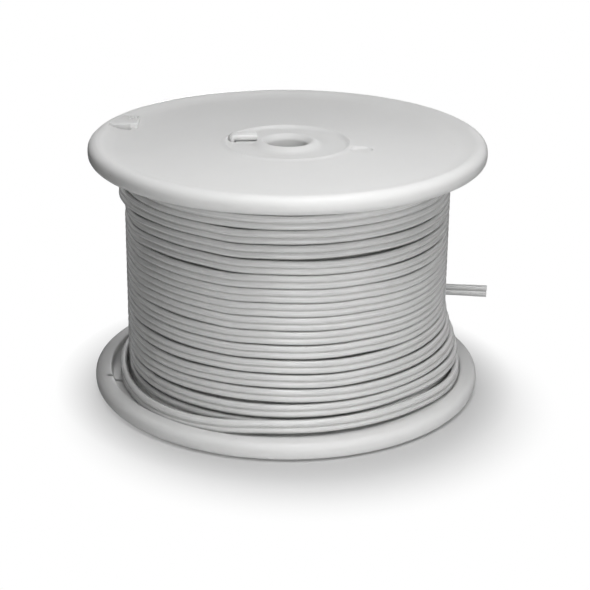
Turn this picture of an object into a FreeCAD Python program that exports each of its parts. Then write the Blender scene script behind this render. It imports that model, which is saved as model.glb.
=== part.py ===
import FreeCAD, Part
import math
import os
import Sketcher
from FreeCAD import Placement, Rotation, Vector

# A plastic spool wound with flat two-conductor lamp cord, in millimetres.
# It stands on its bottom flange: the origin is the middle of the rest ring, and Z is the spindle axis.

doc = FreeCAD.newDocument("wire_spool")

# Driving sizes: name, value, what it is
SIZES = [
    ("spool_height", 108.0, "from the rest ring of one flange to that of the other"),
    ("flange_radius", 82.5, "outside of the rim"),
    ("rim_height", 7.4, "height of the rim bead"),
    ("rim_width", 7.0, "radial width of the rim bead"),
    ("rim_bevel", 3.0, "rounding of the rim's outer edge"),
    ("rest_width", 1.7, "flat ring on which the spool stands"),
    ("web_depth", 2.6, "outer face of the web, below the rest ring"),
    ("web_wall", 2.4, "thickness of the web"),
    ("ridge_out", 5.7, "middle of the low ridge round the hub, out from the barrel"),
    ("ridge_width", 3.0, "width of that ridge at its foot"),
    ("ridge_rise", 0.6, "height of that ridge over the web"),
    ("recess_depth", 3.5, "floor of the hub recess, below the rest ring"),
    ("hub_foot", 1.8, "radial width of the slope from the recess up to the hub"),
    ("hub_radius", 11.6, "outside of the hub's top"),
    ("hub_depth", 1.4, "top of the hub, below the rest ring"),
    ("spindle_radius", 8.25, "bore for a 5/8 inch rod with a running clearance"),
    ("mouth_bevel", 2.0, "lead-in at the mouth of the bore"),
    ("boss_wall", 2.95, "wall of the boss round the bore"),
    ("boss_depth", 12.0, "inner end of the boss, below the rest ring"),
    ("rib_wall", 1.6, "thickness of a centring rib"),
    ("rib_depth", 11.0, "inner end of the ribs, below the rest ring"),
    ("rib_count", 6, "centring ribs on each boss"),
    ("fit_gap", 0.2, "play of the ribs in the barrel"),
    ("barrel_radius", 20.0, "outside of the barrel tube"),
    ("barrel_wall", 1.8, "wall of the barrel tube"),
    ("dimple_radius", 4.75, "drive dimple in the web"),
    ("dimple_depth", 1.2, "depth of the drive dimple"),
    ("dimple_along", 30.2, "drive dimple from the axis, along X"),
    ("dimple_across", 9.1, "drive dimple from the axis, along Y"),
    ("clip_reach", 18.5, "inner edge of the rim's cord clip, in from the flange's outside along X"),
    ("clip_root", 6.0, "root of the clip's near edge, in from the flange's outside along X"),
    ("clip_back", 10.9, "root of the clip's far edge, in from the flange's outside along X"),
    ("clip_near", 19.5, "near edge of the clip, along Y"),
    ("clip_length", 12.1, "length of the clip along Y"),
    ("slit_width", 2.6, "slit beside the clip that pinches the cord"),
    ("slit_reach", 16.0, "inner end of the slit, in from the flange's outside along X"),
    ("slit_length", 9.5, "length of the slit along X"),
    ("grip_width", 0.9, "width of a grip groove on the clip"),
    ("grip_length", 5.5, "length of a grip groove"),
    ("grip_depth", 0.8, "depth of a grip groove"),
    ("grip_step", 1.5, "from one grip groove to the next"),
    ("grip_count", 3, "grip grooves on the clip"),
    ("cord_width", 5.6, "width of the flat cord"),
    ("cord_thick", 2.8, "thickness of the flat cord"),
    ("cord_face", 3.4, "flat of the cord's outer side, between its rounded lobes"),
    ("conductor_radius", 0.6, "stranded conductor under the insulation"),
    ("conductor_bare", 14.0, "length of conductor that is modelled at each cut end"),
    ("bore_gap", 0.03, "play between a conductor and its insulation"),
    ("turn_gap", 0.44, "gap between neighbouring turns"),
    ("lay_gap", 0.3, "gap between the turns and what they lie on"),
    ("web_gap", 0.4, "least gap between the end turns and the flanges"),
    ("fill_depth", 14.5, "how far the rim stands out past the outer layer of cord"),
    ("rim_play", 0.5, "gap between the loose lowest turn and the rim"),
    ("swell_turns", 4, "turns that lie further out"),
    ("swell_ramp", 2, "turns over which the swell grows"),
    ("over_gap", 0.75, "gap between the last turn and the turn it climbs over"),
    ("exit_climb", 4.4, "how far the last turn climbs before it leaves the winding"),
    ("exit_fall", 0.012, "fall per length of the cord where it leaves"),
    ("start_out", 3.2, "start slot out from the barrel, along X"),
    ("start_across", 6.2, "start slot from the axis, along Y"),
    ("start_reach", 10.3, "how far the start end reaches in over the recess"),
    ("slot_gap", 0.3, "play of the cord in the start slot"),
]

sheet = doc.addObject("Spreadsheet::Sheet", "sizes")
for row, (alias, number, note) in enumerate(SIZES, 1):
    sheet.set("A%d" % row, note)
    sheet.set("B%d" % row, str(number))
    sheet.setAlias("B%d" % row, alias)
doc.recompute()


def size(name):
    """The value of one cell of the sheet."""
    return float(getattr(sheet, name))


def formula(text):
    """An expression on the sheet, from names written without the sheet's own name."""
    words = text.replace("(", " ( ").replace(")", " ) ").split()
    names = [alias for alias, number, note in SIZES]
    return " ".join("sizes." + word if word in names else word for word in words)


def bind(owner, path, text):
    """Tie one property of an object to an expression on the sheet."""
    owner.setExpression(path, formula(text))


def plane(body, role):
    """One of a body's own origin planes."""
    return next(item for item in body.Origin.OriginFeatures if item.Role == role)


def new_sketch(body, name, role, height=None):
    """A sketch on one of the body's planes, raised along the plane's normal."""
    sketch = body.newObject("Sketcher::SketchObject", name)
    sketch.AttachmentSupport = [(plane(body, role), "")]
    sketch.MapMode = "FlatFace"
    if height:
        bind(sketch, "AttachmentOffset.Base.z", height)
    return sketch


def place_point(sketch, geometry, position, across, up):
    """Hold one point of a sketch at two expressions from the sketch's origin."""
    for kind, text in (("DistanceX", across), ("DistanceY", up)):
        start = sketch.evalExpression(formula(text))
        index = sketch.addConstraint(Sketcher.Constraint(kind, -1, 1, geometry, position, float(start)))
        bind(sketch, "Constraints[%d]" % index, text)


def polygon(sketch, corners):
    """A closed outline through corners that are pairs of expressions."""
    spots = [Vector(float(sketch.evalExpression(formula(a))), float(sketch.evalExpression(formula(b))), 0)
             for a, b in corners]
    for index, spot in enumerate(spots):
        sketch.addGeometry(Part.LineSegment(spot, spots[(index + 1) % len(spots)]), False)
    for index, (across, up) in enumerate(corners):
        sketch.addConstraint(Sketcher.Constraint("Coincident", index, 2, (index + 1) % len(spots), 1))
        place_point(sketch, index, 1, across, up)
    return sketch


def revolve(body, name, corners):
    """A closed outline of radius and height turned once round Z."""
    sketch = polygon(new_sketch(body, name + "_outline", "XZ_Plane"), corners)
    feature = body.newObject("PartDesign::Revolution", name)
    feature.Profile = sketch
    feature.ReferenceAxis = (sketch, ["V_Axis"])
    feature.Angle = 360
    return feature


def pocket(body, name, sketch, depth=None):
    """Cut a sketch into the body along +Z to a depth, or right through it."""
    feature = body.newObject("PartDesign::Pocket", name)
    feature.Profile = sketch
    if depth:
        feature.Reversed = True
        bind(feature, "Length", depth)
    else:
        feature.Type = "ThroughAll"
        feature.Midplane = True
    return feature


def pad(body, name, sketch, length):
    """Raise a sketch along +Z and join it to the body."""
    feature = body.newObject("PartDesign::Pad", name)
    feature.Profile = sketch
    bind(feature, "Length", length)
    return feature


def cut_volumes(features):
    """Each cut or pad must change the volume of what it works on."""
    for before, after in features:
        change = after.Shape.Volume - before.Shape.Volume
        grows = after.TypeId == "PartDesign::Pad" or "ribs" in after.Name
        if abs(change) < 0.5 or (change > 0) != grows:
            raise RuntimeError("%s changes the volume by %.2f" % (after.Name, change))
        print("%s changes the volume by %.1f mm3" % (after.Name, change))


# Flange
# One moulding, used twice. A rounded rim bead with a flat rest ring stands proud of a thin web. Round
# the bore the web has a low ridge, a recess and the hub, and inwards a boss with ribs that centre the
# barrel. The rim carries a clip with grip grooves and a slit, in which the cord's end is pinched.
def make_flange(label):
    body = doc.addObject("PartDesign::Body", label)
    body.Label = label
    inside = "web_depth + web_wall"
    rim_inside = "flange_radius - rim_width"
    ridge_radius = "barrel_radius + ridge_out"
    turned = revolve(body, label + "_turned", [
        ("spindle_radius", "hub_depth + mouth_bevel"),
        ("spindle_radius + mouth_bevel", "hub_depth"),
        ("hub_radius", "hub_depth"),
        ("hub_radius + hub_foot", "recess_depth"),
        (ridge_radius + " - ridge_width / 2", "recess_depth"),
        (ridge_radius, "web_depth - ridge_rise"),
        (ridge_radius + " + ridge_width / 2", "web_depth"),
        (rim_inside, "web_depth"),
        ("flange_radius - rim_bevel - rest_width", "0"),
        ("flange_radius - rim_bevel", "0"),
        ("flange_radius", "rim_bevel"),
        ("flange_radius", "rim_height"),
        (rim_inside, "rim_height"),
        (rim_inside, inside),
        ("spindle_radius + boss_wall", inside),
        ("spindle_radius + boss_wall", "boss_depth"),
        ("spindle_radius", "boss_depth"),
    ])

    # Ribs that centre the barrel
    rib_tip = "barrel_radius - barrel_wall - fit_gap"
    rib_outline = polygon(new_sketch(body, label + "_rib_outline", "XY_Plane", "web_depth + web_wall / 2"), [
        ("spindle_radius + boss_wall / 2", "-1 * rib_wall / 2"),
        (rib_tip, "-1 * rib_wall / 2"),
        (rib_tip, "rib_wall / 2"),
        ("spindle_radius + boss_wall / 2", "rib_wall / 2"),
    ])
    rib = pad(body, label + "_rib", rib_outline, "rib_depth - web_depth - web_wall / 2")
    doc.recompute()
    ribs = body.newObject("PartDesign::PolarPattern", label + "_ribs")
    ribs.Originals = [rib]
    ribs.Axis = (rib_outline, ["N_Axis"])
    ribs.Angle = 360
    bind(ribs, "Occurrences", "rib_count")
    body.Tip = ribs
    doc.recompute()

    # Clip, slit and grip grooves at the rim
    clip_far = "-1 * ( clip_near + clip_length )"
    clip_outline = polygon(new_sketch(body, label + "_clip_outline", "XY_Plane"), [
        ("clip_reach - flange_radius", "-1 * clip_near"),
        ("clip_reach - flange_radius", clip_far),
        ("clip_back - flange_radius", clip_far),
        ("clip_root - flange_radius", "-1 * clip_near"),
    ])
    clip = pad(body, label + "_clip", clip_outline, "web_depth + web_wall / 2")
    slit_outline = polygon(new_sketch(body, label + "_slit_outline", "XY_Plane"), [
        ("slit_reach - flange_radius", "-1 * clip_near"),
        ("slit_reach - flange_radius - slit_length", "-1 * clip_near"),
        ("slit_reach - flange_radius - slit_length", "slit_width - clip_near"),
        ("slit_reach - flange_radius", "slit_width - clip_near"),
    ])
    slit = pocket(body, label + "_slit", slit_outline)
    doc.recompute()
    grip_outline = polygon(new_sketch(body, label + "_grip_outline", "XY_Plane"), [
        ("clip_reach - flange_radius - grip_width", clip_far + " + grip_width"),
        ("clip_reach - flange_radius - 2 * grip_width", clip_far + " + grip_width"),
        ("clip_reach - flange_radius - 2 * grip_width", clip_far + " + grip_width + grip_length"),
        ("clip_reach - flange_radius - grip_width", clip_far + " + grip_width + grip_length"),
    ])
    grip = pocket(body, label + "_grip", grip_outline, "grip_depth")
    doc.recompute()
    grips = body.newObject("PartDesign::LinearPattern", label + "_grips")
    grips.Originals = [grip]
    grips.Direction = (grip_outline, ["H_Axis"])
    grips.Reversed = True
    bind(grips, "Length", "grip_step * ( grip_count - 1 )")
    bind(grips, "Occurrences", "grip_count")
    body.Tip = grips
    doc.recompute()

    # Drive dimple and the slot for the cord's start
    dimple_outline = new_sketch(body, label + "_dimple_outline", "XY_Plane", "web_depth")
    dimple_outline.addGeometry(Part.Circle(Vector(size("dimple_along"), size("dimple_across"), 0),
                                           Vector(0, 0, 1), size("dimple_radius")), False)
    place_point(dimple_outline, 0, 3, "dimple_along", "dimple_across")
    radius = dimple_outline.addConstraint(Sketcher.Constraint("Radius", 0, size("dimple_radius")))
    bind(dimple_outline, "Constraints[%d]" % radius, "dimple_radius")
    dimple = pocket(body, label + "_dimple", dimple_outline, "dimple_depth")
    doc.recompute()
    half_slot = "( cord_thick / 2 + slot_gap )"
    half_cord = "( cord_width / 2 + slot_gap )"
    slot_middle = "-1 * ( barrel_radius + start_out )"
    slot_outline = polygon(new_sketch(body, label + "_slot_outline", "XY_Plane"), [
        (slot_middle + " - " + half_slot, "-1 * start_across - " + half_cord),
        (slot_middle + " + " + half_slot, "-1 * start_across - " + half_cord),
        (slot_middle + " + " + half_slot, "-1 * start_across + " + half_cord),
        (slot_middle + " - " + half_slot, "-1 * start_across + " + half_cord),
    ])
    slot = pocket(body, label + "_slot", slot_outline)
    doc.recompute()
    cut_volumes([(turned, rib), (rib, ribs), (ribs, clip), (clip, slit), (slit, grip),
                 (grip, grips), (grips, dimple), (dimple, slot)])
    return body


bottom_flange = make_flange("bottom_flange")
top_flange = make_flange("top_flange")
top_flange.Placement = Placement(Vector(0, 0, 0), Rotation(Vector(1, 0, 0), 180))
bind(top_flange, "Placement.Base.z", "spool_height")

# Barrel
# A plain tube between the two webs, centred by the ribs of both flanges.
barrel_outside = doc.addObject("Part::Cylinder", "barrel_outside")
bind(barrel_outside, "Radius", "barrel_radius")
barrel_bore = doc.addObject("Part::Cylinder", "barrel_bore")
bind(barrel_bore, "Radius", "barrel_radius - barrel_wall")
for tube in (barrel_outside, barrel_bore):
    bind(tube, "Height", "spool_height - 2 * ( web_depth + web_wall )")
barrel = doc.addObject("Part::Cut", "barrel")
barrel.Base = barrel_outside
barrel.Tool = barrel_bore
bind(barrel, "Placement.Base.z", "web_depth + web_wall")

# Inner layers of cord
# The buried layers, as one plain ring round the barrel.
ring_inside = "barrel_radius + lay_gap"
ring_outside = "flange_radius - fill_depth - cord_thick - lay_gap"
ring_bottom = "web_depth + web_wall + lay_gap"
ring_top = "spool_height - web_depth - web_wall - lay_gap"
inner_layers = doc.addObject("PartDesign::Body", "cord_inner_layers")
inner_layers.Label = "cord_inner_layers"
revolve(inner_layers, "inner_layers_ring", [
    (ring_inside, ring_bottom),
    (ring_outside, ring_bottom),
    (ring_outside, ring_top),
    (ring_inside, ring_top),
])
doc.recompute()


# Outer layer of cord
# One unbroken flat tube. Each turn runs level across the front, from the right to the left, and drops
# to the next level over the back. The lowest turns swell out, and the last one climbs over its
# neighbour at the back, where it leaves along X.
def circle_arc(start, corner, end):
    """The arc from start to end whose tangents meet at corner."""
    middle = (start + end) * 0.5
    half = (end - start).Length / 2
    rise = (corner - middle).Length
    radius = half * (corner - start).Length / rise
    centre = middle - (corner - middle) * (half * half / (rise * rise))
    through = centre + (corner - centre) * (radius / (corner - centre).Length)
    return Part.Arc(start, through, end).toShape()


def biarc(start, start_way, end, end_way):
    """Two arcs that leave one point and reach another along given directions."""
    span = end - start
    ways = start_way + end_way
    spread = 2 * (1 - start_way.dot(end_way))
    reach = (math.sqrt(span.dot(ways) ** 2 + spread * span.dot(span)) - span.dot(ways)) / spread
    first = start + start_way * reach
    second = end - end_way * reach
    joint = (first + second) * 0.5
    return [circle_arc(start, first, joint), circle_arc(joint, second, end)]


def cord_section(spot, out, up):
    """The cord's outline: its flat side to the drum, its two lobes outwards, its width along up."""
    half = size("cord_width") / 2
    face = size("cord_face") / 2
    depth = size("cord_thick") / 2
    corners = [(-half, -depth), (-face, depth), (face, depth), (half, -depth)]
    points = [spot + up * a + out * b for a, b in corners]
    return Part.makePolygon(points + points[:1])


def on_drum(turn_angle, radius, level):
    """A point at an angle from +X, and the level direction of winding there, clockwise from above."""
    angle = math.radians(turn_angle)
    return (Vector(radius * math.cos(angle), radius * math.sin(angle), level),
            Vector(math.sin(angle), -math.cos(angle), 0))


width = size("cord_width")
thick = size("cord_thick")
step = width + size("turn_gap")
web_inside = size("web_depth") + size("web_wall")
lowest = web_inside + size("web_gap") + width / 2
room = size("spool_height") - 2 * lowest
level_count = int(room / step) + 1
up_way = Vector(0, 0, 1)
wound_radius = size("flange_radius") - size("fill_depth") - thick / 2
loose_radius = size("flange_radius") - size("rim_width") - size("rim_play") - thick / 2
low_radius = loose_radius - thick - size("turn_gap")


def side_radius(level_from_bottom, widest):
    """Middle of a turn at one side of the drum: the lowest turns lie further out, up to the widest."""
    if level_from_bottom >= size("swell_turns"):
        return wound_radius
    share = min(1, (size("swell_turns") - level_from_bottom) / size("swell_ramp"))
    swollen = low_radius + (widest - low_radius) * (1 - level_from_bottom / size("swell_turns"))
    return wound_radius + (swollen - wound_radius) * share


nodes = []
for turn in range(level_count):
    below = level_count - 1 - turn
    height = lowest + step * below
    nodes.append(on_drum(-360 * turn, side_radius(below, loose_radius), height))
    if below:
        nodes.append(on_drum(-360 * turn - 180, side_radius(below, low_radius), height))
over_radius = (low_radius + loose_radius) / 2 + thick + size("over_gap")
nodes.append(on_drum(-90, low_radius, lowest))
nodes.append(on_drum(-180, loose_radius, lowest))
exit_spot, exit_way = on_drum(-270, over_radius, lowest + size("exit_climb"))
exit_way = (exit_way - up_way * size("exit_fall")).normalize()
nodes.append((exit_spot, exit_way))

first_spot, first_way = nodes[0]
edges = [Part.LineSegment(first_spot - first_way * width, first_spot).toShape()]
for (start, start_way), (end, end_way) in zip(nodes, nodes[1:]):
    edges += biarc(start, start_way, end, end_way)
leave_spot = exit_spot + exit_way * width
edges.append(Part.LineSegment(exit_spot, leave_spot).toShape())
spine = Part.Wire(edges)


def section_at(spot, way):
    """The cord's outline square to its way, with its width upright."""
    out = up_way.cross(way)
    out = (out * (1 if out.dot(Vector(spot.x, spot.y, 0)) > 0 else -1)).normalize()
    across = way.cross(out)
    across = across * (1 if across.z > 0 else -1)
    return cord_section(spot, out, across)


shell = Part.BRepOffsetAPI.MakePipeShell(spine)
shell.add(section_at(first_spot - first_way * width, first_way), False, False)
for spot, way in nodes[2:-3:2]:
    shell.add(section_at(spot, way), False, False)
shell.add(section_at(leave_spot, exit_way), False, False)
shell.build()
shell.makeSolid()
outer_layer = doc.addObject("Part::Feature", "cord_outer_layer")
outer_layer.Shape = shell.shape()


def polygon_gap(one, two):
    """Least distance between two closed outlines in a plane, or -1 where they overlap."""
    def spot_to_edge(p, a, b):
        along = ((p[0] - a[0]) * (b[0] - a[0]) + (p[1] - a[1]) * (b[1] - a[1]))
        share = along / ((b[0] - a[0]) ** 2 + (b[1] - a[1]) ** 2)
        share = max(0.0, min(1.0, share))
        return math.hypot(p[0] - a[0] - share * (b[0] - a[0]), p[1] - a[1] - share * (b[1] - a[1]))

    def inside(p, shape):
        signs = [(b[0] - a[0]) * (p[1] - a[1]) - (b[1] - a[1]) * (p[0] - a[0]) > 0
                 for a, b in zip(shape, shape[1:] + shape[:1])]
        return all(signs) or not any(signs)

    if any(inside(p, two) for p in one) or any(inside(p, one) for p in two):
        return -1.0
    gaps = []
    for first, second in ((one, two), (two, one)):
        for p in first:
            gaps += [spot_to_edge(p, a, b) for a, b in zip(second, second[1:] + second[:1])]
    return min(gaps)


# Least gap of the tube to itself, on points a few degrees apart round the drum
arc_points = 24
degrees_apart = 5
samples = []
turned_so_far = 0.0
last_angle = None
for edge in edges[1:-1]:
    for spot in edge.discretize(arc_points)[:-1]:
        angle = math.atan2(spot.y, spot.x)
        if last_angle is not None:
            turned_so_far += (last_angle - angle + math.pi) % (2 * math.pi) - math.pi
        last_angle = angle
        samples.append((turned_so_far, math.hypot(spot.x, spot.y), spot.z))


def at_turn(angle):
    """Radius and height of the tube's middle at an angle wound so far."""
    low, high = 0, len(samples) - 1
    while high - low > 1:
        middle = (low + high) // 2
        if samples[middle][0] <= angle:
            low = middle
        else:
            high = middle
    share = (angle - samples[low][0]) / (samples[high][0] - samples[low][0])
    return [samples[low][i] + share * (samples[high][i] - samples[low][i]) for i in (1, 2)]


def outline_at(angle):
    """The tube's outline in the half plane through the axis."""
    radius, height = at_turn(angle)
    return [(radius - thick / 2, height - width / 2), (radius + thick / 2, height - size("cord_face") / 2),
            (radius + thick / 2, height + size("cord_face") / 2), (radius - thick / 2, height + width / 2)]


least_gap = min(
    polygon_gap(outline_at(math.radians(degree)), outline_at(math.radians(degree) + 2 * math.pi * ahead))
    for ahead in (1, 2)
    for degree in range(0, int(math.degrees(samples[-1][0])) - 360 * ahead, degrees_apart))
least_radius = min(edge.Curve.Radius for edge in edges[1:-1])
expected = spine.Length * (width + size("cord_face")) / 2 * thick
print("outer layer: %.2f turns, %.0f mm of cord, least gap to itself %.2f mm, least radius %.1f mm"
      % (samples[-1][0] / (2 * math.pi), spine.Length, least_gap, least_radius))
print("outer layer: volume %.0f mm3, section times length %.0f mm3" % (outer_layer.Shape.Volume, expected))


# Free ends
# The finishing end leaves the winding at the back and sticks out to the right. The starting end comes
# up through the slot beside the barrel and lies in the hub recess. Both are cut square.
STRAND_SIDES = 12


def rounded_route(points, most_radius=None):
    """Straight runs joined by tangent arcs, and the radii of those arcs."""
    pieces = []
    radii = []
    last = points[0]
    for before, corner, after in zip(points, points[1:], points[2:]):
        arriving = (corner - before).normalize()
        leaving = (after - corner).normalize()
        half_turn = arriving.getAngle(leaving) / 2
        reach = 0.45 * min((corner - before).Length, (after - corner).Length)
        if most_radius:
            reach = min(reach, most_radius * math.tan(half_turn))
        radii.append(reach / math.tan(half_turn))
        start = corner - arriving * reach
        end = corner + leaving * reach
        pieces.append(Part.LineSegment(last, start).toShape())
        pieces.append(circle_arc(start, corner, end))
        last = end
    pieces.append(Part.LineSegment(last, points[-1]).toShape())
    return Part.Wire(pieces), radii


def strand_bar(middle, way, radius, length):
    """A bundle of strands as a straight bar with STRAND_SIDES sides."""
    side = way.cross(up_way if abs(way.z) < 0.9 else Vector(1, 0, 0)).normalize()
    other = way.cross(side)
    points = []
    for index in range(STRAND_SIDES + 1):
        angle = 2 * math.pi * index / STRAND_SIDES
        points.append(middle + side * (radius * math.cos(angle)) + other * (radius * math.sin(angle)))
    return Part.Face(Part.makePolygon(points)).extrude(way * length)


def cord_end(name, points, first_section, tip_out, tip_across, most_radius=None):
    """A free stretch of cord with its two conductors in blind bores at the cut end."""
    route, radii = rounded_route(points, most_radius)
    sweep = Part.BRepOffsetAPI.MakePipeShell(route)
    sweep.add(first_section, False, False)
    sweep.build()
    sweep.makeSolid()
    solid = sweep.shape()
    tip = points[-1]
    back = (points[-2] - tip).normalize()
    length = min(size("conductor_bare"), (points[-2] - tip).Length / 2)
    conductors = []
    for side, word in ((1, "upper"), (-1, "lower")):
        middle = tip + tip_across * (side * width / 4)
        solid = solid.cut(strand_bar(middle, back, size("conductor_radius") + size("bore_gap"),
                                     length + size("bore_gap")))
        conductors.append((word, strand_bar(middle, back, size("conductor_radius"), length)))
    volume = Part.Face(first_section).Area * route.Length
    bores = 2 * strand_bar(tip, back, size("conductor_radius") + size("bore_gap"),
                           length + size("bore_gap")).Volume
    print("%s: %.1f mm long, arc radii %s mm, volume %.1f of %.1f mm3"
          % (name, route.Length, [round(radius, 1) for radius in radii], solid.Volume, volume - bores))
    feature = doc.addObject("Part::Feature", name)
    feature.Shape = solid
    return feature, conductors


free_points = [leave_spot + Vector(*offset) for offset in (
    (0, 0, 0),
    (20.5, 0.15, -0.1),
    (44.0, 0.0, -0.55),
    (67.5, -0.5, -1.05),
    (90.5, -1.5, -1.75),
)]
free_end, free_conductors = cord_end("cord_free_end", free_points, section_at(leave_spot, exit_way),
                                     Vector(0, 1, 0), up_way)

start_floor = size("spool_height") - size("recess_depth") + size("lay_gap") + thick / 2
start_foot = Vector(-size("barrel_radius") - size("start_out"), size("start_across"),
                    size("spool_height") - web_inside - size("lay_gap"))
start_bend = Vector(start_foot.x, start_foot.y, start_floor)
start_lean = 0.6
start_bend_play = 0.2
start_tip = start_bend + Vector(size("start_reach"), start_lean, 0)
start_section = cord_section(start_foot, Vector(-1, 0, 0), Vector(0, 1, 0))
start_end, start_conductors = cord_end("cord_start_end", [start_foot, start_bend, start_tip], start_section,
                                       up_way, Vector(0, 1, 0), thick / 2 + start_bend_play)

conductor_nodes = []
for prefix, conductors in (("free_end_conductor", free_conductors), ("start_end_conductor", start_conductors)):
    for word, shape in conductors:
        feature = doc.addObject("Part::Feature", "%s_%s" % (prefix, word))
        feature.Shape = shape
        conductor_nodes.append(feature)

doc.recompute()

# Check and write every piece
pieces = [bottom_flange, top_flange, barrel, inner_layers, outer_layer, free_end, start_end] + conductor_nodes
for item in doc.Objects:
    if "Invalid" in item.State or "Error" in item.State:
        raise RuntimeError("%s failed: %s" % (item.Name, item.State))
os.makedirs("parts", exist_ok=True)
for piece in pieces:
    shape = piece.Shape
    if shape.isNull() or not shape.isValid() or len(shape.Solids) != 1:
        raise RuntimeError("%s is not one valid solid" % piece.Label)
    shape.exportStep(os.path.join("parts", piece.Label + ".step"))
    print("%s: volume %.1f mm3" % (piece.Label, shape.Volume))
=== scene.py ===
import math

import bpy
from mathutils import Matrix, Vector


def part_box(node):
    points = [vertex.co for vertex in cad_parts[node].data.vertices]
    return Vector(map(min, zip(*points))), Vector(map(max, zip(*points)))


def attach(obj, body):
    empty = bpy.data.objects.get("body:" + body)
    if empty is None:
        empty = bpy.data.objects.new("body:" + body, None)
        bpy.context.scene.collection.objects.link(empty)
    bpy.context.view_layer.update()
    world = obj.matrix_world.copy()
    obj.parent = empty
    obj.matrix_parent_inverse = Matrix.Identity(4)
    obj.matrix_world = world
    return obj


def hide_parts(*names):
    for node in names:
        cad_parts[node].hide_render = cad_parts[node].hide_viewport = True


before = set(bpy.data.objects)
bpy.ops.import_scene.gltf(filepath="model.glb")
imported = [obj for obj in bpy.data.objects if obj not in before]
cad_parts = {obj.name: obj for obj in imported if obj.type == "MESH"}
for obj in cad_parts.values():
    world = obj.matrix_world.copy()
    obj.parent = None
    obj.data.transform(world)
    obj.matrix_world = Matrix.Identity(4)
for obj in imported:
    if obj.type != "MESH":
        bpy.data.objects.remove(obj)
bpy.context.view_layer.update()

# Camera
# It stands two thirds of a metre in front of the spool and looks down on it by twenty degrees, through
# a long lens, with the photograph's framing a little off centre and its slight roll.
photo_width = 590
focal_pixels = 1540
axis_across = 286.8
axis_down = 259.0
camera_distance = 0.6567
looking_down = math.radians(20.29)
camera_roll = math.radians(0.44)
spool_middle = Vector((0, 0, 0.0539))

bpy.ops.object.camera_add()
camera = bpy.context.object
camera.data.lens = focal_pixels * camera.data.sensor_width / photo_width
camera.data.shift_x = 0.5 - axis_across / photo_width
camera.data.shift_y = axis_down / photo_width - 0.5
facing = Matrix.Rotation(math.pi / 2 - looking_down, 4, "X") @ Matrix.Rotation(camera_roll, 4, "Z")
backwards = facing.to_3x3() @ Vector((0, 0, 1))
camera.matrix_world = Matrix.Translation(spool_middle + backwards * camera_distance) @ facing
bpy.context.scene.camera = camera

# Finishes
# A finish is a material and the nodes that vary it over a surface. A flow is one number that runs
# between its nodes, and arithmetic on flows adds the nodes for it.
bpy.context.scene.view_settings.view_transform = "Standard"


class Flow:
    def __init__(self, finish, socket):
        self.finish = finish
        self.socket = socket

    def join(self, operation, first, second):
        return self.finish.add("ShaderNodeMath", {"operation": operation}, {0: first, 1: second})

    def __add__(self, other):
        return self.join("ADD", self, other)

    def __sub__(self, other):
        return self.join("SUBTRACT", self, other)

    def __rsub__(self, other):
        return self.join("SUBTRACT", other, self)

    def __mul__(self, other):
        return self.join("MULTIPLY", self, other)

    def __lt__(self, other):
        return self.join("LESS_THAN", self, other)

    __radd__ = __add__
    __rmul__ = __mul__


class Finish:
    def __init__(self, owner, **constants):
        owner.use_nodes = True
        self.owner = owner
        self.tree = owner.node_tree
        self.shader = self.tree.nodes.get("Principled BSDF") or self.tree.nodes["Background"]
        for socket, value in constants.items():
            self.shader.inputs[socket.replace("_", " ")].default_value = value

    def add(self, kind, settings=None, inputs=None, output=0):
        """A node, with its settings made first and its sockets then given values or links."""
        node = self.tree.nodes.new(kind)
        for setting, value in (settings or {}).items():
            setattr(node, setting, value)
        for socket, value in (inputs or {}).items():
            if isinstance(value, Flow):
                self.tree.links.new(value.socket, node.inputs[socket])
            else:
                node.inputs[socket].default_value = value
        return Flow(self, node.outputs[output])

    def drive(self, socket, flow):
        self.tree.links.new(flow.socket, self.shader.inputs[socket])


# Floor, backdrop and light
# The spool stands on a plain white studio table before a white backdrop. One softbox hangs over
# its front edge, two stand low in front of it and one low behind it, and the room's sides are dim.
table_half_width = 6.0
table_white = (0.62, 0.62, 0.62, 1)
# Near the spool the table is matt and shows its shadow, inside a painted shade patch centred a little to
# the front and darker where it touches the spool; further off the camera sees it as plain white
painted_shade_middle = (0.008, -0.022, 0)
painted_shade_reach = (0.052, 0.108)
contact_shade_reach = (0.083, 0.100)
contact_shade_white = 0.7
# How bright the room's sides are, and how bright the backdrop is for the light that falls on the spool
room_strength = 0.06
backdrop_fill = 0.06
backdrop_edge = (0.35, 0.75)
softboxes = [
    # place, side, power
    (Vector((0.05, -0.16, 0.40)), 0.20, 0.94),
    (Vector((0.04, -0.45, 0.06)), 0.20, 0.58),
    (Vector((0.70, -0.70, 0.19)), 0.35, 1.2),
    (Vector((-0.08, 0.60, 0.05)), 0.09, 1.3),
]

bpy.ops.mesh.primitive_plane_add(size=2 * table_half_width)
table = bpy.context.object
table.name = "table"
table_top = Finish(bpy.data.materials.new("table_top"), Roughness=0.9, Base_Color=table_white)
table_spot = table_top.add("ShaderNodeTexCoord", output="Object")
from_shade = table_top.add("ShaderNodeVectorMath", {"operation": "DISTANCE"},
                           {0: table_spot, 1: painted_shade_middle}, "Value")
from_spool = table_top.add("ShaderNodeVectorMath", {"operation": "LENGTH"}, {0: table_spot}, "Value")
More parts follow.
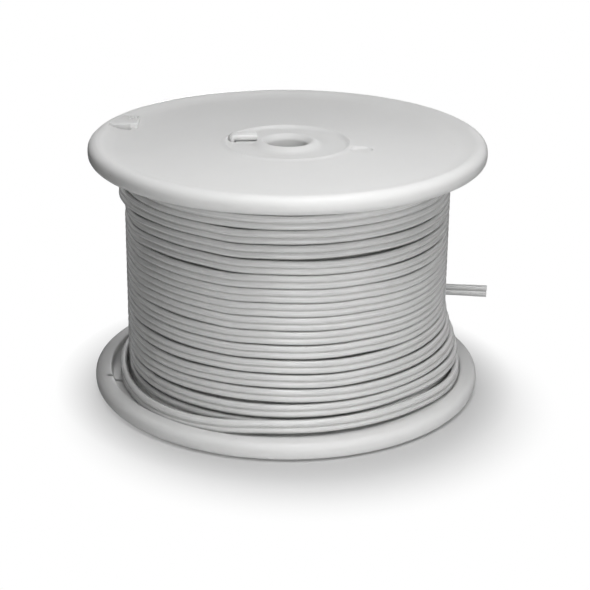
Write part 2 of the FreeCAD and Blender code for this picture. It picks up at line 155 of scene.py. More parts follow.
# Painted shade: round the spool the camera sees the grey matt table, in a patch shifted to the front, and
# plain white beyond it
white_beyond_painted_shade = table_top.add("ShaderNodeMapRange", {"interpolation_type": "SMOOTHSTEP"},
                     {"Value": from_shade, "From Min": painted_shade_reach[0], "From Max": painted_shade_reach[1]})
white_beyond_contact_shade = table_top.add("ShaderNodeMapRange", None,
                      {"Value": from_spool, "From Min": contact_shade_reach[0], "From Max": contact_shade_reach[1],
                       "To Min": contact_shade_white})
seen = table_top.add("ShaderNodeLightPath", output="Is Camera Ray")
white = table_top.add("ShaderNodeEmission")
matt = Flow(table_top, table_top.shader.outputs["BSDF"])
shown = table_top.add("ShaderNodeMixShader", None, {0: white_beyond_painted_shade * white_beyond_contact_shade * seen, 1: matt, 2: white})
table_top.tree.links.new(shown.socket, table_top.tree.nodes["Material Output"].inputs["Surface"])
table.data.materials.append(table_top.owner)

room = Finish(bpy.data.worlds.new("white_room"))
bpy.context.scene.world = room.owner
room_way = room.add("ShaderNodeTexCoord", output="Generated")
room_depth = room.add("ShaderNodeSeparateXYZ", None, {0: room_way}, "Y")
backdrop = room.add("ShaderNodeMapRange", {"interpolation_type": "SMOOTHSTEP"},
                    {"Value": room_depth, "From Min": backdrop_edge[0], "From Max": backdrop_edge[1]})
plainly_seen = (room.add("ShaderNodeLightPath", output="Is Camera Ray")
                + room.add("ShaderNodeLightPath", output="Is Glossy Ray")
                + room.add("ShaderNodeLightPath", output="Is Transmission Ray"))
backdrop_seen = backdrop_fill + plainly_seen * (1 - backdrop_fill)
room.shader.inputs["Color"].default_value = (1, 1, 1, 1)
room.drive("Strength", room_strength + backdrop * (backdrop_seen - room_strength))

for place, side, power in softboxes:
    bpy.ops.object.light_add(type="AREA", location=place)
    softbox = bpy.context.object
    softbox.data.size = side
    softbox.data.energy = power
    softbox.visible_camera = False
    softbox.rotation_euler = (spool_middle - place).to_track_quat("-Z", "Y").to_euler()

# Flanges
# One moulding of natural white polyethylene, used at both ends. A rounded rim bead stands proud of a
# thin dished web; a low ridge, a recess and the hub surround the bore, and a boss reaches inwards.
spool_height = 0.108
flange_radius = 0.0825
flange_steps = 192
rim_height = 0.0074
web_inside = 0.005
boss_radius = 0.0112
boss_depth = 0.012
bore_radius = 0.00825
flange_corners = [
    # radius, height from the table, rounding
    (bore_radius, 0.0034, 0.0007),
    (0.01025, 0.0014, 0.0005),
    (0.0114, 0.0014, 0.0007),
    (0.0143, 0.0035, 0.0014),
    (0.0242, 0.0035, 0.0010),
    (0.0257, 0.0017, 0.0007),
    (0.0275, 0.0026, 0.0010),
    (0.0480, 0.0029, 0),
    (0.0640, 0.0026, 0),
    (0.0740, 0.0021, 0.0030),
    (0.0779, 0.0000, 0.0010),
    (flange_radius, 0.0000, 0.0034),
    (flange_radius, rim_height, 0.0026),
    (0.0755, rim_height, 0.0010),
    (0.0755, web_inside, 0.0012),
    (boss_radius, web_inside, 0.0008),
    (boss_radius, boss_depth, 0.0004),
    (bore_radius, boss_depth, 0.0004),
]
rounding_steps = 5
same_place = 0.00001


def deselect_mesh():
    bpy.ops.mesh.select_mode(type="VERT")
    bpy.ops.mesh.select_all(action="DESELECT")


def select_ring(mesh, radius, height):
    """Select the vertices of one ring of a turned mesh, and the edges between them."""
    bpy.ops.object.mode_set(mode="OBJECT")
    for vertex in mesh.vertices:
        across = math.hypot(vertex.co.x, vertex.co.y)
        vertex.select = abs(across - radius) < same_place and abs(vertex.co.z - height) < same_place
    bpy.ops.object.mode_set(mode="EDIT")


def extrude_rings(rings, middle=(0, 0, 0)):
    """Extrude the selected ring on through the other rings, each a radius and height about a middle."""
    for before, after in zip(rings, rings[1:]):
        bpy.ops.mesh.extrude_region_move()
        wider = after[0] / before[0]
        bpy.ops.transform.resize(value=(wider, wider, 1), center_override=middle)
        bpy.ops.transform.translate(value=(0, 0, after[1] - before[1]))


def turn_outline(name, corners, steps):
    """A closed outline of radius and height, extruded ring by ring round the spindle axis."""
    bpy.ops.object.select_all(action="DESELECT")
    bpy.ops.mesh.primitive_circle_add(vertices=steps, radius=corners[0][0])
    turned = bpy.context.object
    turned.name = name
    bpy.ops.object.mode_set(mode="EDIT")
    bpy.ops.transform.translate(value=(0, 0, corners[0][1]))
    extrude_rings(corners + corners[:1])
    bpy.ops.mesh.select_all(action="SELECT")
    bpy.ops.mesh.remove_doubles(threshold=same_place)
    bpy.ops.mesh.normals_make_consistent(inside=False)
    for radius, height, rounding in corners:
        if rounding:
            deselect_mesh()
            select_ring(turned.data, radius, height)
            bpy.ops.mesh.select_mode(type="EDGE")
            bpy.ops.mesh.bevel(offset=rounding, segments=rounding_steps, affect="EDGES")
    bpy.ops.object.mode_set(mode="OBJECT")
    return turned


bottom_flange = turn_outline("flange_bottom", flange_corners, flange_steps)

clip_inner = 0.064
clip_root = 0.0765
clip_back = 0.0716
clip_near = 0.0195
clip_far = 0.0316
clip_top = 0.0002
clip_rounding = 0.0006
slit_width = 0.0026
slit_reach = (0.0665, 0.0760)
slit_rounding = 0.0008
grip_size = Vector((0.0009, 0.0055, 0.0008))
grip_cut = Vector((grip_size.x, grip_size.y, 2 * grip_size.z))
grip_step = 0.0015
grip_count = 3
grip_rounding = 0.0002
tooth_across = 0.0674
tooth_radius = 0.0006
tooth_rounding = 0.0005
web_middle = 0.0038
dimple_place = Vector((0.0302, 0.0091, 0))
dimple_steps = 48
dimple_rings = [
    # radius, height from the table
    (0.0034, 0.0038), (0.0041, 0.00365), (0.0045, 0.0033), (0.0048, 0.0028), (0.0052, 0.0020),
]
slot_middle = Vector((-0.0232, -0.0062, web_middle))
slot_half = Vector((0.0017, 0.0031, 0.003))
slot_rounding = 0.0003
rib_wall = 0.0016
rib_ends = (0.0097, 0.018)
rib_depth = 0.011
rib_rounding = 0.0003
rib_count = 6
edge_steps = 3


def block(low, high, rounding, shift=None):
    """A bar between two corners with rounded edges; its low corner edge is first moved by shift."""
    bpy.ops.object.select_all(action="DESELECT")
    middle = (Vector(low) + Vector(high)) / 2
    bpy.ops.mesh.primitive_cube_add(size=1, location=middle, scale=Vector(high) - Vector(low))
    bpy.ops.object.transform_apply(location=True, rotation=True, scale=True)
    bar = bpy.context.object
    bpy.ops.object.mode_set(mode="EDIT")
    if shift:
        deselect_mesh()
        bpy.ops.object.mode_set(mode="OBJECT")
        for vertex in bar.data.vertices:
            vertex.select = vertex.co.x < middle.x and vertex.co.y < middle.y
        bpy.ops.object.mode_set(mode="EDIT")
        bpy.ops.transform.translate(value=shift)
    bpy.ops.mesh.select_mode(type="EDGE")
    bpy.ops.mesh.select_all(action="SELECT")
    bpy.ops.mesh.bevel(offset=rounding, segments=edge_steps, affect="EDGES")
    bpy.ops.object.mode_set(mode="OBJECT")
    return bar


def carve(target, tools, operation):
    """Add the tools to a piece, or cut them out of it, and take the tools away."""
    bpy.ops.object.select_all(action="DESELECT")
    for tool in tools:
        tool.select_set(True)
    bpy.context.view_layer.objects.active = tools[0]
    bpy.ops.object.join()
    carving = target.modifiers.new("carving", "BOOLEAN")
    carving.operation = operation
    carving.solver = "EXACT"
    carving.object = tools[0]
    bpy.context.view_layer.objects.active = target
    bpy.ops.object.modifier_apply(modifier="carving")
    bpy.data.objects.remove(tools[0])


clip = block((-clip_root, -clip_far, clip_top), (-clip_inner, -clip_near, web_middle), clip_rounding,
             (clip_root - clip_back, 0, 0))
tooth = block((-tooth_across - tooth_radius, -clip_near - tooth_radius, 2 * clip_top),
              (-tooth_across + tooth_radius, -clip_near + tooth_radius, web_middle), tooth_rounding)
ribs = []
for turn in range(rib_count):
    rib = block((rib_ends[0], -rib_wall / 2, web_middle), (rib_ends[1], rib_wall / 2, rib_depth),
                rib_rounding)
    rib.data.transform(Matrix.Rotation(2 * math.pi * turn / rib_count, 4, "Z"))
    ribs.append(rib)
carve(clip, [tooth], "UNION")
carve(bottom_flange, [clip] + ribs, "UNION")

slit = block((-slit_reach[1], -clip_near, -web_middle),
             (-slit_reach[0], slit_width - clip_near, 2 * web_inside), slit_rounding)
grips = []
for place in range(grip_count):
    grip_corner = Vector((-clip_inner - (place + 1) * grip_step, grip_size.x - clip_far, -grip_size.z))
    grips.append(block(grip_corner, grip_corner + grip_cut, grip_rounding))
bpy.ops.object.select_all(action="DESELECT")
bpy.ops.mesh.primitive_circle_add(vertices=dimple_steps, radius=dimple_rings[0][0], fill_type="NGON",
                                  location=dimple_place + Vector((0, 0, dimple_rings[0][1])))
bpy.ops.object.transform_apply(location=True, rotation=True, scale=True)
dimple = bpy.context.object
bpy.ops.object.mode_set(mode="EDIT")
bpy.ops.mesh.select_all(action="SELECT")
extrude_rings(dimple_rings, dimple_place)
bpy.ops.mesh.select_all(action="SELECT")
bpy.ops.mesh.normals_make_consistent(inside=False)
bpy.ops.object.mode_set(mode="OBJECT")
slot = block(slot_middle - slot_half, slot_middle + slot_half, slot_rounding)
carve(bottom_flange, [slit, dimple, slot] + grips, "DIFFERENCE")

plastic_white = (0.83, 0.83, 0.825, 1)
plastic_dull = (0.80, 0.80, 0.795, 1)
plastic_clear = (0.86, 0.86, 0.855, 1)
speck_grey = (0.45, 0.44, 0.42, 1)
speck_size = 0.02
speck_strength = 0.3
smooth_angle = math.radians(40)

plastic = Finish(bpy.data.materials.new("natural_polyethylene"), Base_Color=plastic_white, Roughness=0.43,
                 Specular_IOR_Level=0.25, Subsurface_Weight=0.5, Subsurface_Radius=(1, 1, 1),
                 Subsurface_Scale=0.003)
flange_spot = plastic.add("ShaderNodeTexCoord", output="Object")
clouds = plastic.add("ShaderNodeTexNoise", None,
                     {"Vector": flange_spot, "Scale": 24, "Detail": 3}, "Fac")
handling = plastic.add("ShaderNodeTexNoise", None,
                       {"Vector": flange_spot, "Scale": 130, "Detail": 5}, "Fac")
peel = plastic.add("ShaderNodeTexNoise", None,
                   {"Vector": flange_spot, "Scale": 650, "Detail": 2}, "Fac")
specks = plastic.add("ShaderNodeTexVoronoi", None, {"Vector": flange_spot, "Scale": 70}, "Distance")
milky = plastic.add("ShaderNodeMix", {"data_type": "RGBA"},
                    {0: clouds, 6: plastic_dull, 7: plastic_clear}, 2)
specked = plastic.add("ShaderNodeMix", {"data_type": "RGBA"},
                      {0: (specks < speck_size) * speck_strength, 6: milky, 7: speck_grey}, 2)
pitted = plastic.add("ShaderNodeBump", None,
                     {"Strength": 0.35, "Distance": 0.0001, "Height": peel + handling * 0.6}, "Normal")
plastic.drive("Base Color", specked)
plastic.drive("Roughness", 0.33 + clouds * 0.1 + handling * 0.14)
plastic.drive("Normal", pitted)

bpy.ops.object.select_all(action="DESELECT")
top_flange = bottom_flange.copy()
top_flange.data = bottom_flange.data.copy()
top_flange.name = "flange_top"
bpy.context.scene.collection.objects.link(top_flange)
top_flange.data.transform(Matrix.Translation((0, 0, spool_height)) @ Matrix.Rotation(math.pi, 4, "X"))
for flange, node in ((bottom_flange, "bottom_flange"), (top_flange, "top_flange")):
    flange.select_set(True)
    flange.data.materials.append(plastic.owner)
    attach(flange, "root")
    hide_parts(node)
bpy.context.view_layer.objects.active = top_flange
bpy.ops.object.shade_smooth_by_angle(angle=smooth_angle)

# Barrel
# A plain tube of the same plastic between the two webs, centred by the ribs of both flanges. The cord
# covers it all, and only the start slot gives a glimpse of its end.
frame_barrel = bpy.data.objects["barrel"]
frame_barrel.data.materials.clear()
frame_barrel.data.materials.append(plastic.owner)

# Buried layers of cord
# Layer on layer of the same cord fills the barrel up to just under the outer turns. Only its outermost
# lobes can be glimpsed between them, so it is one ribbed drum, from flange to flange.
core_bottom, core_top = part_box("cord_inner_layers")
core_sunk = 0.0012
core_radius = core_top.x - core_sunk
core_bore = 0.0203
core_steps = 96
cord_width = 0.0056
cord_thick = 0.0028
core_turns = round((core_top.z - core_bottom.z) / cord_width)
core_pitch = (core_top.z - core_bottom.z) / core_turns
lobe_profile = [
    # share of a turn's height, depth under the lobes
    (0, 0.0016), (0.06, 0.0006), (0.16, 0.0001), (0.28, 0), (0.40, 0.0002), (0.5, 0.0006),
    (0.60, 0.0002), (0.72, 0), (0.84, 0.0001), (0.94, 0.0006),
]
# Painted shade: the buried skin is coloured darker than the outer turns, as it is seen only in the shaded
# gaps between them, and it is mottled with dust
buried_shaded_white = (0.74, 0.74, 0.735, 1)
buried_shaded = (0.70, 0.70, 0.69, 1)
buried_dusty_shaded = (0.54, 0.54, 0.53, 1)

core_corners = [(core_bore, core_bottom.z, 0)]
for turn in range(core_turns):
    core_corners += [(core_radius - sunk, core_bottom.z + (turn + share) * core_pitch, 0)
                     for share, sunk in lobe_profile]
core_corners += [(core_radius - lobe_profile[0][1], core_top.z, 0), (core_bore, core_top.z, 0)]
buried_layers = turn_outline("buried_layers", core_corners, core_steps)

buried = Finish(bpy.data.materials.new("buried_cord_skin_painted_shade"), Base_Color=buried_shaded_white, Roughness=0.5)
buried_spot = buried.add("ShaderNodeTexCoord", output="Object")
buried_dust = buried.add("ShaderNodeTexNoise", None,
                         {"Vector": buried_spot, "Scale": 60, "Detail": 4}, "Fac")
dust_and_painted_shade = buried.add("ShaderNodeMix", {"data_type": "RGBA"},
                    {0: buried_dust, 6: buried_shaded, 7: buried_dusty_shaded}, 2)
buried.drive("Base Color", dust_and_painted_shade)
buried.drive("Roughness", 0.4 + buried_dust * 0.2)
buried_layers.data.materials.append(buried.owner)
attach(buried_layers, "root")
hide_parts("cord_inner_layers")
bpy.ops.object.shade_smooth_by_angle(angle=smooth_angle)

# Outer layer of cord
# Flat lamp cord, two conductors side by side in one extruded white skin with a groove between its lobes.
# Sixteen turns run down the drum, and the last one lies loosely over the lowest, to its end at the back.
mm = 0.001
lobe_radius = cord_thick / 2
lobe_middle = cord_width / 2 - lobe_radius
web_half = 0.5 * mm
web_waist = 0.4 * mm
outer_arc_steps = 7
inner_arc_steps = 4
steps_per_turn = 150
level_count = 16
lowest_level = 8.2 * mm
highest_level = 98.8 * mm
wound_radius = 66.6 * mm
climb_degrees = 13
climb_rise = 2.6 * mm
climb_steps = 6
exit_run = Vector((cord_width, 0, -0.07 * mm))
unrolled_per_metre = 10
# Share of each turn, round the back, in which it steps down to the next level
descent_share = 0.4
# One turn bulges at the far left: the turns wound up to there, its spread in turns, and its rise
bulge_turned = 2.49
bulge_spread = 0.11
bulge_rise = 2.3 * mm

# Play above each turn at the front, from the lowest turn up, in shares of all the play
front_play = [15, 11, 9, 9, 10, 7, 4, 3, 3, 3, 4, 10, 6, 3, 4]
# Places where two turns part: the lower turn, degrees round from the front, spread, added shares
partings = [
    (0, -50, 45, 13), (0, 68, 34, -6), (1, -35, 50, 20), (1, 68, 34, 3), (2, 45, 30, 17),
    (3, -42, 28, 15), (3, 52, 24, 14), (4, -48, 26, 18), (4, 26, 22, 10), (6, -42, 24, 13),
    (9, 48, 22, 13), (10, 52, 28, 20), (10, -38, 30, 19), (11, 35, 40, 18), (12, 48, 22, 14),
    (12, -65, 18, 18), (13, -18, 12, 9),
]
# How far the lowest turns lie out at the right, from the lowest up, in tenths of a millimetre
right_swell = [36, 62, 46, 24, 8, 0]
# Degrees round from the front where that begins and where it is whole, along the front and the back
front_swell = (40, 90)
back_swell = (-150, -270)


def bell(offset, spread):
    """One at the middle, and nothing beyond the spread."""
    share = min(1, abs(offset) / spread)
    return (1 - share * share) ** 2


def ease(share):
    share = max(0, min(1, share))
    return share * share * (3 - 2 * share)


def level_heights(front_degrees):
    """Middle of each turn of the drum, at so many degrees round from the front towards the right."""
    shares = [
        play + sum(bell((front_degrees - place + 180) % 360 - 180, spread) * added
                   for lower, place, spread, added in partings if lower == turn)
        for turn, play in enumerate(front_play)
    ]
    spare = highest_level - lowest_level - (level_count - 1) * cord_width
    heights = [lowest_level]
    for share in shares:
        heights.append(heights[-1] + cord_width + spare * share / sum(shares))
    return heights


def swell(level, front_degrees):
    """How far a turn lies out from the drum: the lowest ones do, at the right."""
    begins, whole = front_swell if front_degrees > 0 else back_swell
    right = ease((front_degrees - begins) / (whole - begins))
    below = min(int(level), len(right_swell) - 2)
    share = min(1, level - below)
    tenths = right_swell[below] + (right_swell[below + 1] - right_swell[below]) * share
    return tenths * 0.1 * mm * right


def wound_place(turned):
    """Angle, radius and height of the drum's turns after a number of turns from the start at the right."""
    turn = min(int(turned), level_count - 1)
    share = turned - turn
    level = level_count - 1 - turn
    if level > 0:
        level -= ease((share - (1 - descent_share)) / descent_share)
    front_degrees = 90 - 360 * share
    heights = level_heights(front_degrees)
    below = int(level)
    above = min(below + 1, level_count - 1)
    height = heights[below] + (heights[above] - heights[below]) * (level - below)
    radius = wound_radius + swell(level, front_degrees)
    radius += bulge_rise * bell(turned - bulge_turned, bulge_spread)
    return -2 * math.pi * turned, radius, height


def lobe_outline(parting):
    """The skin's outline as pairs of across and outwards, its two lobes moved apart by parting."""
    closest = math.asin(web_half / lobe_radius)
    reach = math.pi - closest
    angles = [reach * (1 - step / outer_arc_steps) for step in range(outer_arc_steps)]
    angles += [-reach * step / inner_arc_steps for step in range(inner_arc_steps + 1)]
    upper = [(lobe_middle + parting + lobe_radius * math.cos(angle), lobe_radius * math.sin(angle))
             for angle in angles]
    lower = [(-across, out) for across, out in reversed(upper)]
    return upper + [(0, -web_waist)] + lower + [(0, web_waist)]


def cord_skin(name, spots, outs, partings=None):
    """A closed skin of cord along spots, with outs pointing to the side where its groove shows."""
    corners = []
    for index, spot in enumerate(spots):
        way = (spots[min(index + 1, len(spots) - 1)] - spots[max(index - 1, 0)]).normalized()
        out = (outs[index] - way * outs[index].dot(way)).normalized()
        across = out.cross(way)
        outline = lobe_outline(partings[index] if partings else 0)
        corners += [spot + across * a + out * b for a, b in outline]
    around = len(outline)
    faces = []
    for ring in range(len(spots) - 1):
        for side in range(around):
            turn = (side + 1) % around
            faces.append((ring * around + side, ring * around + turn,
                          (ring + 1) * around + turn, (ring + 1) * around + side))
    last = (len(spots) - 1) * around
    faces.append(tuple(range(around))[::-1])
    faces.append(tuple(range(last, last + around)))
    mesh = bpy.data.meshes.new(name)
    mesh.from_pydata(corners, [], faces)
    run = [0]
    for before, after in zip(spots, spots[1:]):
        run.append(run[-1] + (after - before).length)
    unrolled = mesh.uv_layers.new(name="unrolled")
    for face in mesh.polygons[:-2]:
        ring, side = divmod(face.index, around)
        for loop, step, turn in zip(face.loop_indices, (0, 0, 1, 1), (0, 1, 1, 0)):
            unrolled.data[loop].uv = (run[ring + step] * unrolled_per_metre, (side + turn) / around)
    skin = bpy.data.objects.new(name, mesh)
    bpy.context.scene.collection.objects.link(skin)
    return skin


# The last turn: degrees wound since the right, radius and height in millimetres
last_turn = [
    (-180, 66.6, 8.2), (-160, 66.8, 8.2), (-135, 68.6, 8.2), (-110, 70.4, 8.2), (-75, 71.8, 8.2),
    (-45, 73.0, 8.2), (0, 73.6, 8.2), (20, 73.2, 8.2), (40, 70.4, 8.6), (60, 69.5, 9.0), (80, 69.5, 9.1),
    (98, 70.0, 9.0), (112, 72.4, 8.5), (125, 73.6, 8.2), (140, 73.4, 8.2), (155, 71.6, 8.2),
    (174, 70.4, 8.2), (200, 71.2, 8.6), (235, 74.0, 10.6), (270, 75.53, 12.6),
]


def last_place(degrees):
    """Angle, radius and height of the last turn, on a smooth line through its places."""
    index = max(i for i, place in enumerate(last_turn[:-1]) if place[0] <= degrees)
    first = last_turn[max(index - 1, 0)]
    start, end = last_turn[index], last_turn[index + 1]
    last = last_turn[min(index + 2, len(last_turn) - 1)]
    span = end[0] - start[0]
    share = (degrees - start[0]) / span
    values = []
    for axis in (1, 2):
        slope_in = (end[axis] - first[axis]) / (end[0] - first[0])
        slope_out = (last[axis] - start[axis]) / (last[0] - start[0])
        if index + 2 >= len(last_turn):
            slope_out = 0
        values.append((2 * share ** 3 - 3 * share ** 2 + 1) * start[axis]
                      + (share ** 3 - 2 * share ** 2 + share) * span * slope_in
                      + (3 * share ** 2 - 2 * share ** 3) * end[axis]
                      + (share ** 3 - share ** 2) * span * slope_out)
    return -math.radians(degrees), values[0] * mm, values[1] * mm


# The drum's turns end at the left, where the last turn leaves the drum
drum_turns = level_count - 0.5
drum_steps = round(drum_turns * steps_per_turn)
places = [wound_place(drum_turns * step / drum_steps) for step in range(drum_steps)]
leaves_drum = last_turn[0][0]
loose_degrees = last_turn[-1][0] - leaves_drum
loose_steps = round(loose_degrees / 360 * steps_per_turn)
places += [last_place(leaves_drum + loose_degrees * step / loose_steps) for step in range(loose_steps + 1)]
# The first turn climbs out of the layer below, under the top flange
climb = [(math.radians(climb_degrees * step / climb_steps),
          wound_radius - climb_rise * ease(step / climb_steps), highest_level)
         for step in range(climb_steps, 0, -1)]
wound_spots = [Vector((radius * math.cos(angle), radius * math.sin(angle), height))
               for angle, radius, height in climb + places]
wound_outs = []
for index, spot in enumerate(wound_spots):
    lift = 0
    if steps_per_turn < index < drum_steps - steps_per_turn:
        above = places[index - steps_per_turn]
        below = places[index + steps_per_turn]
        lift = (below[1] - above[1]) / (above[2] - below[2])
    wound_outs.append((Vector((spot.x, spot.y, 0)).normalized() + Vector((0, 0, lift))).normalized())
wound_spots.append(wound_spots[-1] + exit_run)
wound_outs.append(wound_outs[-1])
outer_turns = cord_skin("cord_outer_turns", wound_spots, wound_outs)

skin_white = (0.79, 0.79, 0.785, 1)
skin_dull = (0.75, 0.75, 0.745, 1)
skin_bright = (0.82, 0.82, 0.815, 1)
groove_painted_shade_grey = (0.52, 0.515, 0.50, 1)
groove_shade_reach = 0.06
streak_scale = (3, 26, 1)

insulation = Finish(bpy.data.materials.new("white_cord_skin"), Base_Color=skin_white, Roughness=0.28,
                    Specular_IOR_Level=0.8)
unrolled = insulation.add("ShaderNodeUVMap", {"uv_map": "unrolled"})
stretched = insulation.add("ShaderNodeMapping", None,
                           {"Vector": unrolled, "Scale": streak_scale}, "Vector")
streaks = insulation.add("ShaderNodeTexNoise", None,
                         {"Vector": stretched, "Scale": 1, "Detail": 3}, "Fac")
around_cord = insulation.add("ShaderNodeSeparateXYZ", None, {0: unrolled}, "Y")
from_groove = insulation.add("ShaderNodeMath", {"operation": "PINGPONG"}, {0: around_cord, 1: 0.5})
groove = insulation.add("ShaderNodeMapRange", {"interpolation_type": "SMOOTHSTEP"},
                        {"Value": from_groove, "From Min": groove_shade_reach, "From Max": 0.0})
skin_spot = insulation.add("ShaderNodeTexCoord", output="Object")
dents = insulation.add("ShaderNodeTexNoise", None,
                       {"Vector": skin_spot, "Scale": 170, "Detail": 2}, "Fac")
skin_mottle = insulation.add("ShaderNodeTexNoise", None,
                      {"Vector": skin_spot, "Scale": 45, "Detail": 4}, "Fac")
clean = insulation.add("ShaderNodeMix", {"data_type": "RGBA"},
                       {0: streaks, 6: skin_dull, 7: skin_bright}, 2)
# Painted shade: the groove between the lobes is coloured a darker grey, mottled by noise
groove_shaded = insulation.add("ShaderNodeMix", {"data_type": "RGBA"},
                        {0: groove * (0.25 + skin_mottle * 0.5), 6: clean, 7: groove_painted_shade_grey}, 2)
dented = insulation.add("ShaderNodeBump", None,
                        {"Strength": 0.5, "Distance": 0.00012, "Height": streaks * 0.4 + dents},
                        "Normal")
insulation.drive("Base Color", groove_shaded)
insulation.drive("Roughness", 0.17 + streaks * 0.12 + skin_mottle * 0.08)
insulation.drive("Normal", dented)

outer_turns.data.materials.append(insulation.owner)
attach(outer_turns, "root")
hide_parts("cord_outer_layer")
bpy.ops.object.select_all(action="DESELECT")
outer_turns.select_set(True)
bpy.context.view_layer.objects.active = outer_turns
bpy.ops.object.shade_smooth_by_angle(angle=smooth_angle)

# Free end of the cord
# The finishing end leaves the winding at the back and sticks out to the right, held level by its own
# stiffness. It is cut square, and its two lobes part a little at the cut.
free_route = [
    (0.0056, 0.07553, 0.01253),
    (0.0261, 0.07568, 0.01243),
    (0.0496, 0.07553, 0.01198),
    (0.0731, 0.07503, 0.01148),
    (0.0961, 0.07403, 0.01078),
]
parted_reach = 0.014
parted_most = 0.00015
strand_bore = 0.00063
bore_sides = 20
free_conductor_length = 0.0115
cut_sink = 0.0001
# Wires in each ring of a conductor, from its middle wire outwards
wire_rings = [1, 6, 12, 18]
wire_radius = 0.000078
wire_spacing = 0.00017
wire_steps = 8
wire_sides = 6
twist_length = 0.022
copper_red = (0.83, 0.44, 0.29, 1)
copper_bright = (0.86, 0.50, 0.34, 1)
copper_brown = (0.62, 0.28, 0.17, 1)


def route_points(name, route):
    """Points along one smooth spline with the route's points as its control points."""
    line = bpy.data.curves.new(name, "CURVE")
    line.dimensions = "3D"
    spline = line.splines.new("NURBS")
    spline.points.add(len(route) - 1)
    for point, place in zip(spline.points, route):
        point.co = (*place, 1)
    spline.order_u = 3
    spline.use_endpoint_u = True
    holder = bpy.data.objects.new(name, line)
    bpy.context.scene.collection.objects.link(holder)
    traced = bpy.data.meshes.new_from_object(holder)
    points = [vertex.co.copy() for vertex in traced.vertices]
    bpy.data.objects.remove(holder)
    return points


def bundle(name, cut, way, length):
    """Stranded copper behind a cut face: rings of fine wires round one wire, all twisted together."""
    side = way.cross(Vector((0, 1, 0))).normalized()
    other = way.cross(side)

    def spoke(angle):
        return side * math.cos(angle) + other * math.sin(angle)

    corners = []
    faces = []
    for ring, wires in enumerate(wire_rings):
        for wire in range(wires):
            first = len(corners)
            for step in range(wire_steps + 1):
                back = cut_sink + length * step / wire_steps
                turned = 2 * math.pi * (wire / wires + back / twist_length)
                middle = cut - way * back + spoke(turned) * (ring * wire_spacing)
                corners += [middle + spoke(2 * math.pi * corner / wire_sides) * wire_radius
                            for corner in range(wire_sides)]
            for step in range(wire_steps):
                for corner in range(wire_sides):
                    near = first + step * wire_sides
                    after = (corner + 1) % wire_sides
                    faces.append((near + corner, near + after, near + wire_sides + after,
                                  near + wire_sides + corner))
            last = first + wire_steps * wire_sides
            faces.append(tuple(range(first, first + wire_sides))[::-1])
            faces.append(tuple(range(last, last + wire_sides)))
    mesh = bpy.data.meshes.new(name)
    mesh.from_pydata(corners, [], faces)
    conductor = bpy.data.objects.new(name, mesh)
    bpy.context.scene.collection.objects.link(conductor)
    bpy.ops.object.select_all(action="DESELECT")
    conductor.select_set(True)
    bpy.context.view_layer.objects.active = conductor
    bpy.ops.object.mode_set(mode="EDIT")
    bpy.ops.mesh.select_all(action="SELECT")
    bpy.ops.mesh.normals_make_consistent(inside=False)
    bpy.ops.object.mode_set(mode="OBJECT")
    return conductor


def finish_end(skin, prefix, cut, way, across, length, node):
    """Bore the skin for its two conductors, put them in, and make all three take their nodes' places."""
    bpy.ops.object.select_all(action="DESELECT")
    holes = []
    conductors = []
    for side, word in ((1, "upper"), (-1, "lower")):
        middle = cut + across * (side * (lobe_middle + parted_most))
        bpy.ops.mesh.primitive_cylinder_add(vertices=bore_sides, radius=strand_bore,
                                            depth=2 * (length + cut_sink), end_fill_type="NGON")
        hole = bpy.context.object
        hole.data.transform(Matrix.Translation(middle) @ way.to_track_quat("Z", "Y").to_matrix().to_4x4())
        holes.append(hole)
        conductors.append(bundle("%s_copper_%s" % (prefix, word), middle, way, length))
    carve(skin, holes, "DIFFERENCE")
    skin.data.materials.append(insulation.owner)
    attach(skin, "root")
    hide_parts(node)
    for conductor, word in zip(conductors, ("upper", "lower")):
        conductor.data.materials.append(copper.owner)
        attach(conductor, "root")
        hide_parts("%s_conductor_%s" % (prefix, word))
    bpy.ops.object.select_all(action="DESELECT")
    for piece in [skin] + conductors:
        piece.select_set(True)
    bpy.context.view_layer.objects.active = skin
    bpy.ops.object.shade_smooth_by_angle(angle=smooth_angle)
    return conductors


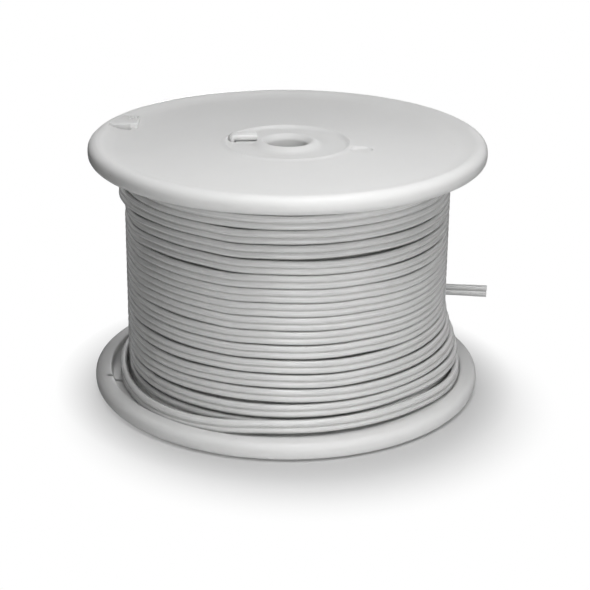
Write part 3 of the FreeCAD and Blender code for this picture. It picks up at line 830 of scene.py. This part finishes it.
copper = Finish(bpy.data.materials.new("stranded_copper"), Base_Color=copper_red, Metallic=1.0,
                Roughness=0.3)
copper_spot = copper.add("ShaderNodeTexCoord", output="Object")
tarnish = copper.add("ShaderNodeTexNoise", None,
                     {"Vector": copper_spot, "Scale": 900, "Detail": 3}, "Fac")
tarnished = copper.add("ShaderNodeMix", {"data_type": "RGBA"},
                       {0: tarnish, 6: copper_bright, 7: copper_brown}, 2)
copper.drive("Base Color", tarnished)
copper.drive("Roughness", 0.2 + tarnish * 0.25)

free_spots = route_points("free_end_line", free_route)
from_tip = [0]
for nearer, further in zip(free_spots[::-1], free_spots[-2::-1]):
    from_tip.append(from_tip[-1] + (nearer - further).length)
free_partings = [parted_most * ease(1 - distance / parted_reach) for distance in from_tip[::-1]]
free_out = Vector((0, 1, 0))
free_skin = cord_skin("cord_free_end_skin", free_spots, [free_out] * len(free_spots), free_partings)
free_way = (free_spots[-1] - free_spots[-2]).normalized()
free_across = free_out.cross(free_way)
free_conductors = finish_end(free_skin, "free_end", free_spots[-1], free_way, free_across,
                             free_conductor_length, "cord_free_end")

# Starting end of the cord
# The cord's first end comes up through the slot beside the barrel and is folded over into the hub
# recess, so that it can't slip back. It is cut square and bares the ends of its two conductors.
start_route = [
    (-0.0232, 0.0062, 0.1027),
    (-0.0232, 0.0062, 0.1046),
    (-0.0232, 0.0062, 0.1062),
    (-0.0213, 0.0063, 0.1062),
    (-0.0170, 0.0065, 0.1062),
    (-0.0129, 0.0068, 0.1062),
]
start_conductor_length = 0.005

start_spots = route_points("start_end_line", start_route)
start_outs = []
for before, after in zip(start_spots[:1] + start_spots, start_spots[1:] + start_spots[-1:]):
    along = (after - before).normalized()
    start_outs.append(Vector((-along.z, 0, along.x)))
start_partings = [parted_most * step / (len(start_spots) - 1) for step in range(len(start_spots))]
start_skin = cord_skin("cord_start_end_skin", start_spots, start_outs, start_partings)
start_way = (start_spots[-1] - start_spots[-2]).normalized()
start_across = Vector((0, 0, 1)).cross(start_way)
finish_end(start_skin, "start_end", start_spots[-1], start_way, start_across, start_conductor_length,
           "cord_start_end")
